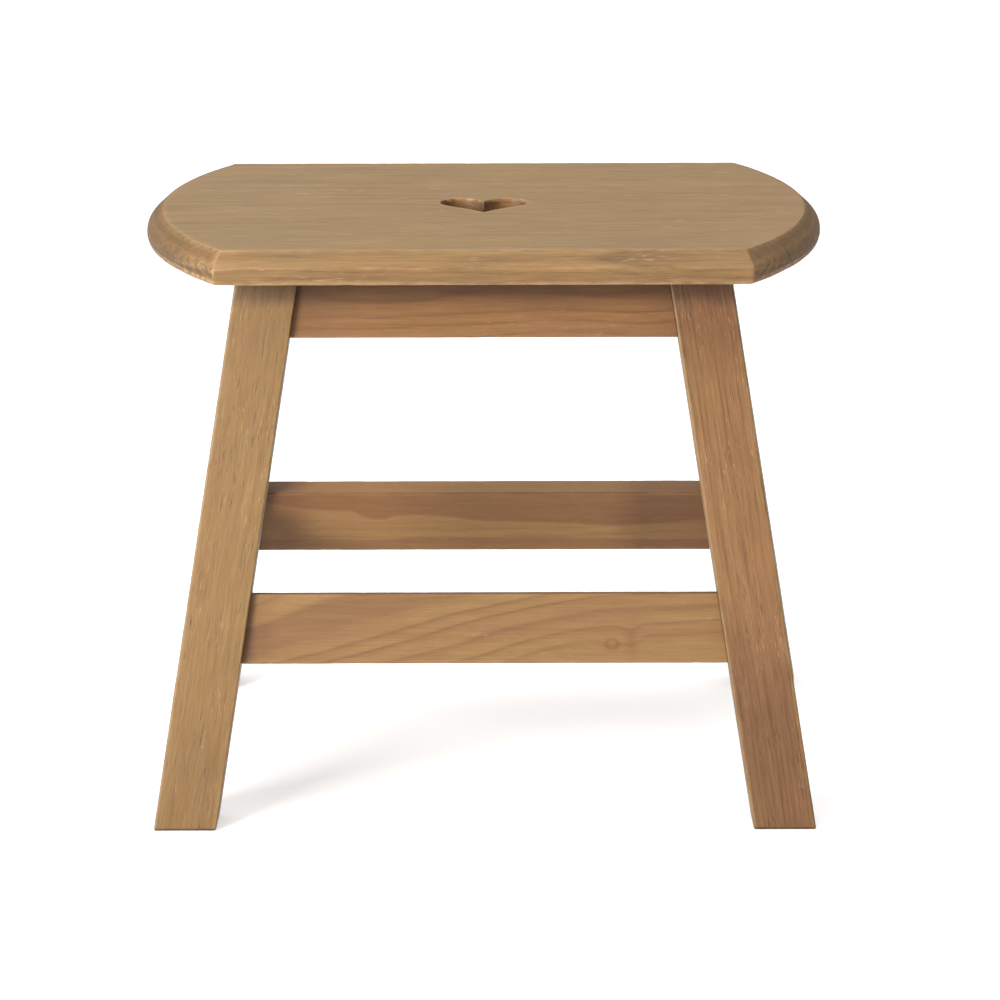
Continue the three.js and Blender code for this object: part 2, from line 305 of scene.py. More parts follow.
def seat_columns():
    xs = [k * 0.6 / EDGE_HALF for k in range(-40, 41)]
    far = [0.2 + 0.8 * k / 36 for k in range(1, 37)]
    line = [-f for f in reversed(far)] + xs + far
    line = [f for f in line if abs(f) < 0.9999]
    line = [-1.0] + line + [1.0]
    cols = [("S", 0, -1, f) for f in line]
    cols += [("F", 1, -1, k / 4) for k in range(1, 5)]
    cols += [("A", 1, 0, -1 + 2 * k / 72) for k in range(1, 72)]
    cols += [("F", 1, 1, 1 - k / 4) for k in range(0, 4)]
    cols += [("S", 0, 1, -f) for f in line]
    cols += [("F", -1, 1, k / 4) for k in range(1, 5)]
    cols += [("A", -1, 0, 1 - 2 * k / 72) for k in range(1, 72)]
    cols += [("F", -1, -1, 1 - k / 4) for k in range(0, 4)]
    return cols


def fillet(pa, pc, pb, r, k):
    """k + 1 points round the corner pc, from the side of pa to the side of pb."""
    pa, pc, pb = Vector(pa), Vector(pc), Vector(pb)
    d1, d2 = (pa - pc).normalized(), (pb - pc).normalized()
    half = math.acos(max(-1, min(1, d1.dot(d2)))) / 2
    mid = pc + (d1 + d2).normalized() * (r / math.sin(half))
    s, e = pc + d1 * (r / math.tan(half)) - mid, pc + d2 * (r / math.tan(half)) - mid
    a0, a1 = math.atan2(s.y, s.x), math.atan2(e.y, e.x)
    while a1 - a0 > math.pi:
        a1 -= 2 * math.pi
    while a1 - a0 < -math.pi:
        a1 += 2 * math.pi
    return [(mid.x + r * math.cos(a0 + (a1 - a0) * i / k), mid.y + r * math.sin(a0 + (a1 - a0) * i / k)) for i in range(k + 1)]


def corner_radius(z):
    """The corners are rounder low down than at the top."""
    f = max(0.0, min(1.0, 1 - z / (SEAT_T - BEVEL_DROP)))
    return 1.3 + 2.2 * f * f * (3 - 2 * f)


def seat_profile(soft, top_soft, low_r):
    """Edge profile from the underside to the top: (inset, height over the underside, wear)."""
    a, b, c = (0.0, 0.0), (0.0, SEAT_T - BEVEL_DROP), (BEVEL_IN, SEAT_T)
    pts = [(low_r + 1.7, 0.0, 0.0), (low_r + 0.6, 0.0, 0.2)]
    pts += [(x, y, 0.9) for x, y in fillet((8, 0), a, b, low_r, 5)]
    s1 = fillet(a, b, c, 0.9 + 7.2 * soft, 6)
    lo = low_r
    pts += [(0.0, lo + (s1[0][1] - lo) * f, w) for f, w in ((0.08, 0.5), (0.3, 0.1), (0.7, 0.05), (0.95, 0.3))]
    pts += [(x, y, 0.75 - 0.45 * soft) for x, y in s1]
    s2 = fillet(b, c, (20, SEAT_T), 1.3 + 4.2 * top_soft, 5)
    p, q = Vector(s1[-1]), Vector(s2[0])
    for f, w in ((0.06, 0.4), (0.35, 0.05), (0.65, 0.05), (0.94, 0.45)):
        v = p + (q - p) * f
        pts.append((v.x, v.y, w))
    pts += [(x, y, 0.9 - 0.55 * top_soft) for x, y in s2]
    e = s2[-1][0]
    pts += [(e + 0.5, SEAT_T, 0.5), (e + 2.0, SEAT_T, 0.1)]
    return pts


def bezier(p0, p1, p2, p3, n):
    out = []
    for i in range(n):
        t = i / n
        u = 1 - t
        out.append(tuple(u ** 3 * a + 3 * u * u * t * b + 3 * u * t * t * c + t ** 3 * d for a, b, c, d in zip(p0, p1, p2, p3)))
    return out


def heart_outline():
    r = bezier((0, 6.2), (1.6, 10.6), (5.6, 14.2), (11.4, 14.2), 120)
    r += bezier((11.4, 14.2), (17.4, 14.2), (21.5, 10.6), (21.5, 5.2), 120)
    r += bezier((21.5, 5.2), (21.5, -1.2), (9.2, -4.6), (0, -14.4), 200)
    left = [(-x, y) for x, y in reversed(r[1:])]
    return r + [(0, -14.4)] + left


HEART_C = Vector((0.0, 3.0))
_hp = sorted((math.atan2(y - HEART_C.y, x - HEART_C.x), math.hypot(x - HEART_C.x, y - HEART_C.y)) for x, y in heart_outline())


def heart_radius(a):
    lo, hi = 0, len(_hp) - 1
    if a <= _hp[0][0] or a >= _hp[-1][0]:
        return _hp[0][1]
    while hi - lo > 1:
        mid = (lo + hi) // 2
        if _hp[mid][0] <= a:
            lo = mid
        else:
            hi = mid
    (a0, r0), (a1, r1) = _hp[lo], _hp[hi]
    return r0 + (r1 - r0) * (a - a0) / max(1e-9, a1 - a0)


def seat(seed, dings=()):
    cols = seat_columns()
    m = len(cols)
    profiles = []
    for kind, sx, sy, f in cols:
        top_soft = 0.0
        if kind == "S":
            near = max(0.0, (abs(f) - 0.93) / 0.07)
            soft, low_r = near * 0.25, 1.3 + 0.7 * near
        elif kind == "F":
            soft, low_r = 0.25 + 0.15 * f, 2.0 + 0.6 * f
        else:
            near = min(1.0, (1 - abs(f)) / 0.30)
            soft, low_r = 0.40 + 0.60 * near, 2.6 + 1.6 * near
            if sx < 0:      # the left end is rubbed rounder than the right one
                top_soft = 0.75 * min(1.0, max(0.0, (f + 0.93) / 0.45))
        profiles.append(seat_profile(soft, top_soft, low_r))
    # heart wall, one point for each column, at the same bearing from the heart's middle
    heart = []
    for j, c in enumerate(cols):
        v = outline_point(c, BEVEL_IN) - HEART_C
        a = math.atan2(v.y, v.x)
        r = heart_radius(a)
        heart.append(HEART_C + Vector((math.cos(a), math.sin(a))) * r)
    hn = []
    for j in range(m):
        t = heart[(j + 1) % m] - heart[j - 1]
        t.normalize()
        hn.append(Vector((t.y, -t.x)))       # away from the hole
    rings = []   # each ring: list of (x, y, z, wear, normal xyz)

    # rim radius: smaller on the narrow point of wood between the two lobes
    rim = []
    for j in range(m):
        room = 9.0
        if heart[j].y > 4.0 and abs(heart[j].x) < 5.0:
            room = 0.10 + 0.62 * abs(heart[j].x) / max(0.2, abs(hn[j].x))
        rim.append(min(0.70, room))
    for _ in range(3):
        rim = [min(rim[j], (rim[j - 1] + 2 * rim[j] + rim[(j + 1) % m]) / 4 + 0.02) for j in range(m)]

    def heart_ring(grow, drop, low, w):
        return [(heart[j].x + hn[j].x * rim[j] * grow, heart[j].y + hn[j].y * rim[j] * grow,
                 SEAT_T - rim[j] * drop if low is None else (SEAT_T - rim[j]) * (1 - low) + 0.7 * rim[j] * low,
                 w, (-hn[j].x, -hn[j].y, 0.0)) for j in range(m)]
    # heart wall, going down from the top rim
    top_rim = []
    for k in range(6):
        a = (math.pi / 2) * k / 5
        top_rim.append(heart_ring(1 - math.sin(a), 1 - math.cos(a), None, 1.5))
    wall = [heart_ring(0.0, 0.0, f, 0.15) for f in (0.08, 0.35, 0.65, 0.94)]
    bottom_rim = []
    for k in range(4):
        a = (math.pi / 2) * k / 3
        ring = heart_ring(0.7 * (1 - math.cos(a)), 0.0, 1.0, 0.5)
        bottom_rim.append([(x, y, 0.7 * rim[j] * (1 - math.sin(a)), w, n) for j, (x, y, z, w, n) in enumerate(ring)])
    # underside, from the heart out
    prof0 = [outline_point(cols[j], profiles[j][0][0], corner_radius(0.0)) for j in range(m)]
    under = []
    hb = [(heart[j] + hn[j] * 0.7 * rim[j]) for j in range(m)]
    for f in (0.04, 0.12, 0.25, 0.4, 0.55, 0.7, 0.85, 0.96):
        under.append([((hb[j] * (1 - f) + prof0[j] * f).x, (hb[j] * (1 - f) + prof0[j] * f).y, 0.0, 0.0, (0, 0, -1.0)) for j in range(m)])
    edge = []
    for i in range(len(profiles[0])):
        ring = []
        for j in range(m):
            d, z, w = profiles[j][i]
            p = outline_point(cols[j], d, corner_radius(z))
            # the front left corner is the one most rubbed
            close = max(0.0, 1 - math.hypot(p.x + 139.0, p.y + 93.0) / 34.0)
            w = w * (1 + 0.9 * close) if w > 0.3 else w
            if cols[j][0] == "F" and cols[j][1] < 0 and cols[j][2] < 0 and z > 6.0:
                w = max(w, 1.35)
            ring.append((p.x, p.y, z, w, None))
        edge.append(ring)
    last = [Vector((p[0], p[1])) for p in edge[-1]]
    ht = [(heart[j] + hn[j] * rim[j]) for j in range(m)]
    top = []
    for f in (0.03, 0.08, 0.14, 0.2, 0.27, 0.34, 0.41, 0.48, 0.55, 0.62, 0.69, 0.76, 0.82, 0.88, 0.93, 0.965, 0.985):
        top.append([((last[j] * (1 - f) + ht[j] * f).x, (last[j] * (1 - f) + ht[j] * f).y, SEAT_T,
                     0.35 if f > 0.98 else 0.0, (0, 0, 1.0)) for j in range(m)])
    rings = under + edge + top + top_rim + wall + bottom_rim
    verts, wear = [], []
    for ring in rings:
        for x, y, z, w, nrm in ring:
            p = Vector((x, y, z + TOP))
            if nrm is None:
                c = Vector((x, y, 0))
                mid = Vector((max(-ARC_X, min(ARC_X, x)), 0, 0))
                flat = Vector((0, math.copysign(1, y), 0)) if abs(y) > HALF_D - 12 and abs(x) < EDGE_HALF - 4 else (c - mid).normalized()
                if z <= 1.2:
                    nv = (flat * 0.5 + Vector((0, 0, -0.5))).normalized()
                elif z < SEAT_T - BEVEL_DROP:
                    nv = flat
                elif z < SEAT_T - 0.3:
                    nv = (flat * 0.7 + Vector((0, 0, 0.7))).normalized()
                else:
                    nv = Vector((0, 0, 1))
            else:
                nv = Vector(nrm)
            cut = 0.16 * (0.5 + 0.5 * n3(p, 55.0, seed)) + 0.05 * (0.5 + 0.5 * n3(p, 11.0, seed + 3))
            if w > 0.6:
                a = 0.5 + 0.5 * n3(p, 17.0, seed + 1)
                b = max(0.0, n3(p, 5.0, seed + 2) - 0.1)
                cut += 0.30 * a * a + 0.30 * b
            p = p - nv * cut
            ww = w
            for c, radius, depth, direction in dings:
                d = (p - c).length
                if d < radius:
                    p = p + direction * depth * (1 - (d / radius) ** 2) ** 2
                    ww = max(ww, 0.6 * (1 - d / radius))
            p.z = min(max(p.z, TOP), HEIGHT)
            verts.append(tuple(p))
            wear.append(ww)
    k = len(rings)
    first = len(under) + len(edge) + len(top) + len(top_rim) - 1
    inner = [1.0 if first <= i < first + len(wall) + 2 else 0.0 for i in range(k) for _ in range(m)]
    faces = []
    for i in range(k):
        a0, b0 = i * m, ((i + 1) % k) * m
        for j in range(m):
            jj = (j + 1) % m
            faces.append((a0 + j, a0 + jj, b0 + jj, b0 + j))
    return make_object("seat_board_wood", verts, outward(verts, faces), wear, inner), "seat_board"


# ---------------------------------------------------------------- screws
def screw(name, at, direction):
    """Countersunk wood screw with a cross recess, its thread cut as a helix."""
    R, r, H, L = 4.0, 2.0, 2.6, 30.0
    n = 40
    prof = [(0.0, 0.0), (1.2, 0.0), (3.2, 0.0), (3.75, 0.06), (3.96, 0.22), (4.0, 0.45), (r + 0.15, H - 0.15), (r, H + 0.3), (r, 11.0)]
    verts, faces = [], []
    rings = []
    for q, z in prof[1:]:
        rings.append([(q * math.cos(2 * math.pi * i / n), q * math.sin(2 * math.pi * i / n), z) for i in range(n)])
    steps = 96
    pitch = 1.8
    for k in range(steps + 1):
        z = 11.4 + (L - 3.0 - 11.4) * k / steps
        ring = []
        for i in range(n):
            a = 2 * math.pi * i / n
            ph = ((z / pitch) - i / n) % 1.0
            crest = max(0.0, 1 - abs(ph - 0.5) / 0.22)
            q = 1.42 + 0.58 * crest
            ring.append((q * math.cos(a), q * math.sin(a), z))
        rings.append(ring)
    for k in range(1, 5):
        q = 1.42 * (1 - k / 5.0)
        rings.append([(q * math.cos(2 * math.pi * i / n), q * math.sin(2 * math.pi * i / n), L - 3.0 + 3.0 * k / 5) for i in range(n)])
    # the recess: the middle of the head sinks inside a cross
    head = []
    grid = [0.0, 0.35, 0.55, 0.9, 1.3, 1.7, 2.05, 2.3, 2.7]
    for q in grid[1:]:
        row = []
        for i in range(n):
            a = 2 * math.pi * i / n
            x, y = q * math.cos(a), q * math.sin(a)
            ax, ay = abs(x), abs(y)
            across, along = min(ax, ay), max(ax, ay)
            inside = max(0.0, min(1.0, (0.62 - across) / 0.22)) * max(0.0, min(1.0, (2.15 - along) / 0.35))
            depth = 1.7 * inside * (1 - 0.35 * along / 2.15)
            row.append((x, y, depth))
        head.append(row)
    rings = head + rings[1:]
    verts.append((0.0, 0.0, 1.7))
    for ring in rings:
        verts += ring
    verts.append((0.0, 0.0, L))
    m = n
    for i in range(m):
        faces.append((0, 1 + (i + 1) % m, 1 + i))
    k = len(rings)
    for i in range(k - 1):
        for j in range(m):
            a, b = 1 + i * m + j, 1 + i * m + (j + 1) % m
            faces.append((a, b, b + m, a + m))
    tip = len(verts) - 1
    for j in range(m):
        faces.append((1 + (k - 1) * m + j, 1 + (k - 1) * m + (j + 1) % m, tip))
    q = Vector((0, 0, 1)).rotation_difference(direction)
    verts = [tuple(Vector(at) + q @ Vector(v)) for v in verts]
    return make_object(name + "_metal", verts, outward(verts, faces), [0.0] * len(verts))


# ---------------------------------------------------------------- materials
def srgb(r, g, b):
    f = lambda c: c / 12.92 if c <= 0.04045 else ((c + 0.055) / 1.055) ** 2.4
    return (f(r / 255), f(g / 255), f(b / 255), 1.0)


# wood tones, sRGB 0-255, before light falls on them
SEAT, SEAT_LATE, SEAT_WARM, SEAT_END = (124, 94, 55), (95, 67, 38), (131, 92, 50), (73, 54, 39)
# factor for the painted sheen and painted top light on the seat's upward faces
SEAT_TOP_PAINTED_SHEEN = (1.52, 1.76, 2.34, 1.0)
LEG_L, LEG_L_LATE = (123, 93, 53), (97, 69, 39)
LEG_R, LEG_R_LATE = (126, 90, 53), (86, 57, 31)
LEG_RED = (112, 75, 46)
APRON, APRON_LATE = (125, 88, 49), (96, 62, 34)
FRONT, FRONT_LATE = (128, 96, 56), (101, 69, 39)
REAR, REAR_LATE = (135, 100, 58), (104, 71, 41)
REAR_RED, REAR_LOW = (110, 69, 39), (97, 60, 35)
RAIL_RED = (112, 74, 46)
CLEAT, CLEAT_LATE = (176, 146, 104), (146, 110, 70)


def rgb(c, gain):
    """An sRGB tone, its linear value times gain."""
    r = srgb(*c)
    return (r[0] * gain, r[1] * gain, r[2] * gain, 1.0)


class Nodes:
    def __init__(self, name):
        self.mat = bpy.data.materials.new(name)
        self.mat.use_nodes = True
        self.t = self.mat.node_tree
        self.t.nodes.clear()
        self.out = self.t.nodes.new("ShaderNodeOutputMaterial")
        self.bsdf = self.t.nodes.new("ShaderNodeBsdfPrincipled")
        self.t.links.new(self.bsdf.outputs[0], self.out.inputs[0])

    def put(self, socket, value):
        if isinstance(value, (int, float)):
            socket.default_value = value
        elif isinstance(value, (tuple, list, Vector)):
            socket.default_value = tuple(value)
        else:
            self.t.links.new(value, socket)

    def math(self, op, a, b=None, c=None, clamp=False):
        n = self.t.nodes.new("ShaderNodeMath")
        n.operation = op
        n.use_clamp = clamp
        for i, v in enumerate((a, b, c)):
            if v is not None:
                self.put(n.inputs[i], v)
        return n.outputs[0]

    def vec(self, op, a, b=None, scale=None):
        n = self.t.nodes.new("ShaderNodeVectorMath")
        n.operation = op
        self.put(n.inputs[0], a)
        if b is not None:
            self.put(n.inputs[1], b)
        if scale is not None:
            self.put(n.inputs["Scale"], scale)
        return n.outputs["Value"] if op in ("LENGTH", "DOT_PRODUCT", "DISTANCE") else n.outputs[0]

    def noise(self, vector, scale=1.0, detail=2.0, rough=0.5, distortion=0.0, dims="3D", lac=2.0):
        n = self.t.nodes.new("ShaderNodeTexNoise")
        n.noise_dimensions = dims
        self.put(n.inputs["W" if dims == "1D" else "Vector"], vector)
        n.inputs["Scale"].default_value = scale
        n.inputs["Detail"].default_value = detail
        n.inputs["Roughness"].default_value = rough
        n.inputs["Lacunarity"].default_value = lac
        n.inputs["Distortion"].default_value = distortion
        return n.outputs["Fac"]

    def ramp(self, fac, stops, interp="LINEAR"):
        n = self.t.nodes.new("ShaderNodeValToRGB")
        n.color_ramp.interpolation = interp
        el = n.color_ramp.elements
        while len(el) < len(stops):
            el.new(0.5)
        for e, (p, c) in zip(el, stops):
            e.position = p
            e.color = (c, c, c, 1.0) if isinstance(c, (int, float)) else c
        self.put(n.inputs[0], fac)
        return n.outputs[0]

    def span(self, v, a, b, c=0.0, d=1.0, smooth=False):
        n = self.t.nodes.new("ShaderNodeMapRange")
        n.interpolation_type = "SMOOTHSTEP" if smooth else "LINEAR"
        n.clamp = True
        for i, x in enumerate((v, a, b, c, d)):
            self.put(n.inputs[i], x)
        return n.outputs[0]

    def mix(self, fac, a, b, mode="MIX"):
        n = self.t.nodes.new("ShaderNodeMix")
        n.data_type = "RGBA"
        n.blend_type = mode
        n.clamp_factor = True
        self.put(n.inputs[0], fac)
        self.put(n.inputs[6], a)
        self.put(n.inputs[7], b)
        return n.outputs[2]

    def stretch(self, v, sx, sy, sz):
        return self.vec("MULTIPLY", v, (1.0 / sx, 1.0 / sy, 1.0 / sz))


def grain_axes(along, up):
    """Rotation that takes object space to grain space: X along the fibres."""
    x = Vector(along).normalized()
    z = (Vector(up) - x * Vector(up).dot(x)).normalized()
    y = z.cross(x)
    return Matrix((x, y, z))


def wood(name, along, up, centre, pith, seed, early, late, ring=3.4, contrast=0.40, wander=3.0, slope=(0.0, 0.0),
         streak=0.12, breakup=0.5, fleck=0.30, fleck_at=0.0, dash=0.35, dash_at=0.0, tone=0.08, blush=0.3, red=None, knots=(), patch=None,
         pale=None, width=1.0, end_dark=0.5, top_painted_sheen=None, top_painted_sheen_amount=0.8, painted_shade_by_height=None, end_rings=0.5, end_tint=None, worn=None, rub=0.55, rough=0.50, bump=1.0, speck=0.0, grey=None, grey_amount=0.0, tone_and_painted_shade_zones=(), upright_painted_shade=None, hole_wall_painted_shade=None, underside_painted_shade=None, end_rings_and_painted_light=None, calm=0.0):
    """Stained, waxed softwood cut from a log. Grain space is in millimetres with the fibres along X, and
    the log's heart runs at (pith y, pith z) from the middle of the piece."""
    N = Nodes(name)
    t = N.t
    rot = grain_axes(along, up)
    coord = t.nodes.new("ShaderNodeTexCoord")
    mp = t.nodes.new("ShaderNodeMapping")
    mp.vector_type = "POINT"
    e = rot.to_euler("XYZ")
    mp.inputs["Rotation"].default_value = (e.x, e.y, e.z)
    mp.inputs["Scale"].default_value = (1000.0, 1000.0, 1000.0)
    c = rot @ (Vector(centre))
    mp.inputs["Location"].default_value = (-c.x, -c.y, -c.z)
    t.links.new(coord.outputs["Object"], mp.inputs["Vector"])
    G = mp.outputs[0]                                # mm, about the middle of the piece
    S = N.vec("ADD", G, (seed * 131.7, seed * 57.3, seed * 91.1))
    sep = t.nodes.new("ShaderNodeSeparateXYZ")
    N.put(sep.inputs[0], G)
    gx, gy, gz = sep.outputs

    def turned(scale_xyz, offset=(0.0, 0.0, 0.0)):
        return N.vec("ADD", N.stretch(S, *scale_xyz), offset)

    # the log's heart wanders along the board, and knots push the rings aside
    slow = t.nodes.new("ShaderNodeTexNoise")
    slow.inputs["Scale"].default_value = 1.0
    slow.inputs["Detail"].default_value = 1.5
    slow.inputs["Roughness"].default_value = 0.45
    N.put(slow.inputs["Vector"], N.stretch(S, 120.0, 60.0, 60.0))
    shift = N.vec("SCALE", N.vec("SUBTRACT", slow.outputs["Color"], (0.5, 0.5, 0.5)), scale=wander * 3.4)
    small = t.nodes.new("ShaderNodeTexNoise")
    small.inputs["Scale"].default_value = 1.0
    small.inputs["Detail"].default_value = 2.0
    N.put(small.inputs["Vector"], N.stretch(S, 30.0, 7.0, 7.0))
    shift2 = N.vec("SCALE", N.vec("SUBTRACT", small.outputs["Color"], (0.5, 0.5, 0.5)), scale=wander * 0.34)
    bend = N.math("ADD", N.math("MULTIPLY", gx, slope[0]), N.math("MULTIPLY", N.math("MULTIPLY", gx, gx), slope[1]))
    comb0 = t.nodes.new("ShaderNodeCombineXYZ")
    N.put(comb0.inputs[1], bend)
    P = N.vec("SUBTRACT", N.vec("ADD", N.vec("ADD", G, shift), shift2), comb0.outputs[0])
    P = N.vec("SUBTRACT", P, (0.0, pith[0], pith[1]))
    P = N.vec("MULTIPLY", P, (0.0, 1.0, 1.0))
    r = N.vec("LENGTH", P)
    knot_dark, knot_ring = None, None
    for kx, ky, kz, kr, sx, sy, core_w, ring_w in knots:
        d = N.vec("LENGTH", N.stretch(N.vec("ADD", N.vec("SUBTRACT", G, (kx, ky, kz)), N.vec("SCALE", shift2, scale=0.6)), sx, sy, 6.0))
        q = N.math("DIVIDE", d, kr)
        push = N.math("MULTIPLY", N.math("EXPONENT", N.math("MULTIPLY", N.math("POWER", N.math("DIVIDE", q, 2.0), 2.0), -1.0)), kr * 1.3)
        r = N.math("ADD", r, push)
        core = N.math("MULTIPLY", N.math("EXPONENT", N.math("MULTIPLY", N.math("POWER", q, 2.0), -1.0)), core_w)
        off = N.math("SUBTRACT", q, 1.05)
        halo = N.math("MULTIPLY", N.math("EXPONENT", N.math("MULTIPLY", N.math("MULTIPLY", off, off), -6.0)), ring_w)
        knot_dark = core if knot_dark is None else N.math("MAXIMUM", knot_dark, core)
        knot_ring = halo if knot_ring is None else N.math("MAXIMUM", knot_ring, halo)
    uneven = N.noise(N.math("DIVIDE", N.math("ADD", r, seed * 40.0), ring * 3.1), dims="1D", detail=1.0)
    r = N.math("ADD", r, N.math("MULTIPLY", N.math("SUBTRACT", uneven, 0.5), ring * 2.4))
    phase = N.math("FRACT", N.math("DIVIDE", r, ring))
    late_f = N.ramp(phase, [(0.0, 0.50), (0.09, 0.08), (0.42, 0.10), (0.70, 0.40), (0.88, 0.95), (0.95, 1.0), (1.0, 0.50)], "EASE")
    band = N.noise(N.math("DIVIDE", N.math("ADD", r, seed * 13.0), ring * 4.0), dims="1D", detail=1.0)
    late_f = N.math("MULTIPLY", late_f, N.span(band, 0.28, 0.72, 0.30, 1.0))
    broken = N.noise(turned((34.0, 2.6, 2.6), (3.3, 8.1, 1.7)), detail=2.0, rough=0.6)
    ring_face = N.math("MULTIPLY", late_f, N.span(broken, 0.34, 0.60, 1.0 - breakup, 1.0))

    # fibres
    f_fine = N.noise(turned((11.0, 0.42, 0.42)), detail=2.0, rough=0.6)
    f_mid = N.noise(turned((26.0 * width ** 0.5, 0.95 * width, 0.95 * width), (5.2, 1.1, 7.7)), detail=2.0, rough=0.55)
    f_wide = N.noise(turned((85.0, 3.2 * width, 3.2 * width), (1.9, 6.6, 2.4)), detail=2.0, rough=0.5)
    broad = N.noise(turned((190.0, 15.0, 15.0), (7.4, 2.8, 0.6)), detail=2.0, rough=0.5)
    mott = N.noise(turned((46.0, 26.0, 26.0), (0.7, 3.9, 5.5)), detail=3.0, rough=0.55)
    flecks = N.noise(turned((6.0 * width, 0.55 * width, 0.55 * width), (9.1, 2.2, 4.4)), detail=1.0)
    gate1 = N.span(N.noise(turned((38.0, 12.0, 12.0), (2.1, 0.4, 9.3)), detail=1.0), 0.50, 0.64)
    light_fleck = N.math("MULTIPLY", N.span(flecks, 0.655 - fleck_at, 0.76 - fleck_at), gate1)
    dashes = N.noise(turned((8.5 * width, 0.45 * width, 0.45 * width), (17.3, 4.1, 9.9)), detail=1.0)
    gate2 = N.span(N.noise(turned((50.0, 9.0, 9.0), (6.2, 7.4, 1.3)), detail=1.0), 0.44, 0.60)
    dark_dash = N.math("MULTIPLY", N.span(dashes, 0.655 - dash_at, 0.77 - dash_at), gate2)

    base = N.mix(N.math("MULTIPLY", ring_face, contrast), early, late)
    if patch is not None:
        # darker heartwood on one side of a wavy line, given as (grain x, grain y) points
        pts, colour, amount, low, low_colour, low_amount = patch
        x0, x1 = pts[0][0], pts[-1][0]
        curve = t.nodes.new("ShaderNodeFloatCurve")
        N.put(curve.inputs["Value"], N.span(gx, x0, x1))
        cm = curve.mapping.curves[0]
        span_y = 40.0
        while len(cm.points) < len(pts):
            cm.points.new(0.5, 0.5)
        for pt, (px, py) in zip(cm.points, sorted(pts)):
            pt.location = ((px - x0) / (x1 - x0), 0.5 + py / span_y)
            pt.handle_type = "AUTO"
        curve.mapping.update()
        line = N.math("MULTIPLY", N.math("SUBTRACT", curve.outputs[0], 0.5), span_y)
        over = N.math("SUBTRACT", N.math("ADD", gy, N.math("MULTIPLY", N.math("SUBTRACT", f_mid, 0.5), 1.6)), line)
        above = N.math("MULTIPLY", N.span(over, -0.8, 1.8, 0.0, 1.0, smooth=True), N.span(over, 0.0, 16.0, 1.0, 0.62))
        base = N.mix(N.math("MULTIPLY", above, amount), base, colour)
        seam = N.math("MULTIPLY", N.span(over, -2.4, -0.4, 0.0, 1.0, smooth=True), N.span(over, 0.1, -0.3, 0.0, 1.0))
        base = N.mix(N.math("MULTIPLY", seam, 0.35), base, tuple(min(1.0, x * 1.12) for x in early[:3]) + (1.0,))
        under = N.math("ADD", gy, N.math("MULTIPLY", N.math("SUBTRACT", f_wide, 0.5), 9.0))
        under = N.span(under, low + 2.6, low - 2.6, 0.0, 1.0, smooth=True)
        base = N.mix(N.math("MULTIPLY", under, low_amount), base, low_colour)
    if red is not None:
        base = N.mix(N.math("MULTIPLY", N.span(mott, 0.48, 0.66), blush), base, red)
        base = N.mix(N.math("MULTIPLY", N.span(broad, 0.50, 0.68), blush), base, red)
    if grey is not None:
        base = N.mix(N.math("MULTIPLY", N.span(broad, 0.50, 0.34), grey_amount), base, grey)
    if pale is not None:
        base = N.mix(N.math("MULTIPLY", N.span(f_wide, 0.54, 0.70), 0.5), base, pale)
    shade = N.math("ADD", 1.0, N.math("MULTIPLY", N.math("SUBTRACT", f_mid, 0.5), streak * 2.6))
    shade = N.math("ADD", shade, N.math("MULTIPLY", N.math("SUBTRACT", f_fine, 0.5), streak * 2.2))
    shade = N.math("ADD", shade, N.math("MULTIPLY", N.math("SUBTRACT", f_wide, 0.5), streak * 1.6))
    shade = N.math("ADD", shade, N.math("MULTIPLY", N.math("SUBTRACT", mott, 0.5), tone * 2.4))
    shade = N.math("ADD", shade, N.math("MULTIPLY", N.math("SUBTRACT", broad, 0.5), tone * 1.6))
    comb = t.nodes.new("ShaderNodeCombineColor")
    for i, k in enumerate((0.86, 1.05, 1.32)):       # darker wood is also redder wood
        N.put(comb.inputs[i], N.math("POWER", shade, k))
    base = N.mix(1.0, base, comb.outputs[0], "MULTIPLY")
    base = N.mix(N.math("MULTIPLY", dark_dash, dash), base, tuple(x * f for x, f in zip(late[:3], (0.42, 0.34, 0.28))) + (1.0,))
    base = N.mix(N.math("MULTIPLY", light_fleck, fleck), base, tuple(min(1.0, x * 1.55 + 0.05) for x in early[:3]) + (1.0,))
    if speck > 0.0:
        dots = N.noise(turned((1.1, 0.8, 0.8), (4.0, 4.0, 4.0)), detail=0.0)
        base = N.mix(N.math("MULTIPLY", N.span(dots, 0.845, 0.90), speck), base, tuple(min(1.0, x * 1.8 + 0.10) for x in early[:3]) + (1.0,))
    if knot_dark is not None:
        base = N.mix(N.math("MULTIPLY", knot_dark, 0.42), base, tuple(x * f for x, f in zip(late[:3], (1.05, 0.78, 0.70))) + (1.0,))
        base = N.mix(N.math("MULTIPLY", knot_ring, 0.42), base, tuple(x * f for x, f in zip(late[:3], (0.92, 0.68, 0.60))) + (1.0,))

    sepn = t.nodes.new("ShaderNodeSeparateXYZ")
    N.put(sepn.inputs[0], coord.outputs["Normal"])
    if top_painted_sheen is not None:
        # faces that look up are painted lighter and greyer: a painted sheen and painted top light
        top_sheen_mask = N.math("MULTIPLY", N.span(sepn.outputs[2], 0.86, 0.985, 0.0, 1.0, smooth=True), top_painted_sheen_amount)
        if calm > 0.0:           # and the figure shows less there
            base = N.mix(N.math("MULTIPLY", top_sheen_mask, calm), base, tuple(x * 0.94 for x in early[:3]) + (1.0,))
        base = N.mix(top_sheen_mask, base, N.mix(1.0, base, top_painted_sheen, "MULTIPLY"))
    for x_a, x_b, tint in tone_and_painted_shade_zones:
        # slow changes of tone along the board, and painted shade on the rails next to the legs
        far = N.math("ADD", gx, N.math("MULTIPLY", N.math("SUBTRACT", mott, 0.5), min(40.0, abs(x_b - x_a) * 1.2)))
        base = N.mix(N.span(far, x_a, x_b, 0.0, 1.0, smooth=True), base, N.mix(1.0, base, tint, "MULTIPLY"))
    if underside_painted_shade is not None:
